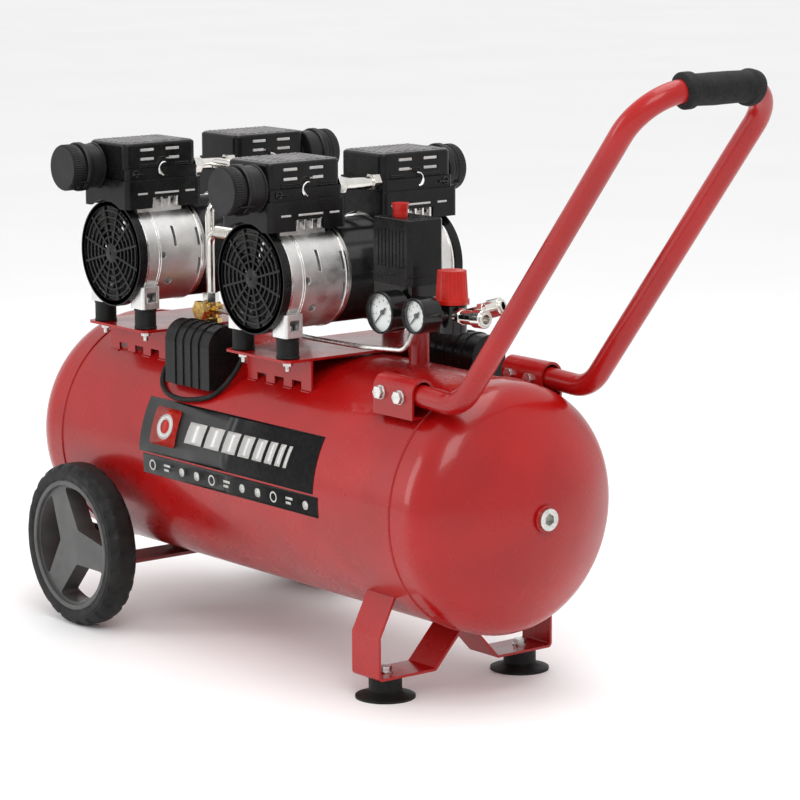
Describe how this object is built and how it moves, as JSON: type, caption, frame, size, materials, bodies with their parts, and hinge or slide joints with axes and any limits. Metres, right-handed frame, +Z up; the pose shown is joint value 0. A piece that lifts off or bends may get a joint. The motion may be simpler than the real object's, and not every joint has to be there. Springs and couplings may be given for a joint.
{
  "type": "air compressor",
  "caption": "Portable wheeled air compressor: horizontal red tank with oil-free motor pump units on top, handle, gauges, regulator and quick couplers.",
  "frame": {"origin": "bottom centre of the whole object's box, on the floor", "axes": "+X along the tank towards the handle, +Y away from the gauge side, +Z up"},
  "size_m": [1.126, 0.386, 0.7255],
  "materials": {
    "red_paint": "gloss",
    "dark_red_paint": "satin",
    "zinc": "satin",
    "aluminium": "satin",
    "steel": "satin",
    "copper_laminate": "satin",
    "nickel": "gloss",
    "brass": "satin",
    "black_plastic": "satin",
    "black_paint": "satin",
    "grey_plastic": "satin",
    "red_plastic": "satin",
    "black_rubber": "matte",
    "tyre_rubber": "matte",
    "foam": "matte",
    "dial": "satin",
    "lens": "gloss"
  },
  "bodies": {
    "frame": {"tank_shell": "red_paint", "tank_end_front": "red_paint", "tank_end_rear": "red_paint", "tank_bosses": "red_paint", "port_plug": "zinc", "foot_bracket": "red_paint", "rubber_feet": "black_rubber", "frame_bolts": "zinc", "axle_bracket": "dark_red_paint", "axle_bolts": "zinc", "handle_tube": "red_paint", "handle_grip": "foam", "handle_clamps": "red_paint", "saddle_plates": "red_paint", "rubber_buffers": "black_rubber", "buffer_studs": "zinc", "crankcase_rear": "aluminium", "crankcase_front": "aluminium", "motor_cans": "black_paint", "stators": "copper_laminate", "fan_grilles": "black_plastic", "cylinders": "aluminium", "valve_plates": "steel", "head_bodies": "black_plastic", "vent_boxes": "black_plastic", "air_filters": "black_plastic", "air_pipes": "nickel", "capacitor_boxes": "black_plastic", "capacitor_cable": "black_rubber", "check_valve": "brass", "unloader_pipe": "zinc", "switch_base": "black_paint", "switch_cover": "black_plastic", "manifold": "black_paint", "gauge_cases": "black_paint", "gauge_dials": "dial", "gauge_lenses": "lens", "regulator_body": "black_paint", "coupler_bodies": "nickel", "safety_valve": "brass"},
    "wheel_near": {"tyre_near": "tyre_rubber", "rim_near": "grey_plastic"},
    "wheel_far": {"tyre_far": "tyre_rubber", "rim_far": "grey_plastic"},
    "motor_shaft_rear": {"shaft_rear": "steel", "fans_rear": "black_plastic"},
    "motor_shaft_front": {"shaft_front": "steel", "fans_front": "black_plastic"},
    "piston_rear_near": {"piston_rear_near": "aluminium"},
    "piston_rear_far": {"piston_rear_far": "aluminium"},
    "piston_front_near": {"piston_front_near": "aluminium"},
    "piston_front_far": {"piston_front_far": "aluminium"},
    "switch_button": {"switch_button": "red_plastic"},
    "regulator_knob": {"regulator_knob": "red_plastic"},
    "sleeve_near": {"coupler_sleeve_near": "nickel"},
    "sleeve_far": {"coupler_sleeve_far": "nickel"},
    "drain_screw": {"drain_screw": "brass"},
    "safety_ring": {"safety_ring": "zinc"},
    "needle_tank": {"needle_tank": "black_paint"},
    "needle_outlet": {"needle_outlet": "black_paint"}
  },
  "joints": [
    {"name": "wheel_near_spin", "type": "hinge", "parent": "frame", "child": "wheel_near", "pos_m": [-0.37948, -0.174, 0.1], "axis": [0, 1, 0], "continuous": true},
    {"name": "wheel_far_spin", "type": "hinge", "parent": "frame", "child": "wheel_far", "pos_m": [-0.37948, 0.174, 0.1], "axis": [0, 1, 0], "continuous": true},
    {"name": "shaft_rear_spin", "type": "hinge", "parent": "frame", "child": "motor_shaft_rear", "pos_m": [-0.36748, 0, 0.456], "axis": [0, 1, 0], "continuous": true},
    {"name": "shaft_front_spin", "type": "hinge", "parent": "frame", "child": "motor_shaft_front", "pos_m": [-0.07848, 0, 0.456], "axis": [0, 1, 0], "continuous": true},
    {"name": "piston_rear_near_stroke", "type": "slide", "parent": "frame", "child": "piston_rear_near", "axis": [0, 0, 1], "range_m": [-0.006, 0.006]},
    {"name": "piston_rear_far_stroke", "type": "slide", "parent": "frame", "child": "piston_rear_far", "axis": [0, 0, 1], "range_m": [-0.006, 0.006]},
    {"name": "piston_front_near_stroke", "type": "slide", "parent": "frame", "child": "piston_front_near", "axis": [0, 0, 1], "range_m": [-0.006, 0.006]},
    {"name": "piston_front_far_stroke", "type": "slide", "parent": "frame", "child": "piston_front_far", "axis": [0, 0, 1], "range_m": [-0.006, 0.006]},
    {"name": "switch_button_press", "type": "slide", "parent": "frame", "child": "switch_button", "axis": [0, 0, -1], "range_m": [0, 0.006]},
    {"name": "regulator_knob_turn", "type": "hinge", "parent": "frame", "child": "regulator_knob", "pos_m": [0.12552, 0, 0.457], "axis": [0, 0, 1], "range_deg": [-360, 360]},
    {"name": "sleeve_near_pull", "type": "slide", "parent": "frame", "child": "sleeve_near", "axis": [-0.9973, 0.0523, -0.0523], "range_m": [0, 0.004], "stiffness_N_per_m": 800, "springref_m": -0.004},
    {"name": "sleeve_far_pull", "type": "slide", "parent": "frame", "child": "sleeve_far", "axis": [-0.8824, -0.3929, -0.2588], "range_m": [0, 0.004], "stiffness_N_per_m": 800, "springref_m": -0.004},
    {"name": "drain_screw_turn", "type": "hinge", "parent": "frame", "child": "drain_screw", "pos_m": [-0.13748, 0.04, 0.07], "axis": [0, 0, 1], "range_deg": [0, 360]},
    {"name": "safety_ring_pull", "type": "slide", "parent": "frame", "child": "safety_ring", "axis": [0, 1, 0], "range_m": [0, 0.003], "stiffness_N_per_m": 600, "springref_m": -0.003},
    {"name": "needle_tank_turn", "type": "hinge", "parent": "frame", "child": "needle_tank", "pos_m": [0.06952, -0.055, 0.427], "axis": [0, 1, 0], "range_deg": [0, 270], "stiffness_Nm_per_rad": 0.0002, "springref_deg": -17.19},
    {"name": "needle_outlet_turn", "type": "hinge", "parent": "frame", "child": "needle_outlet", "pos_m": [0.13052, -0.055, 0.43], "axis": [0, 1, 0], "range_deg": [0, 270], "stiffness_Nm_per_rad": 0.0002, "springref_deg": -17.19}
  ]
}
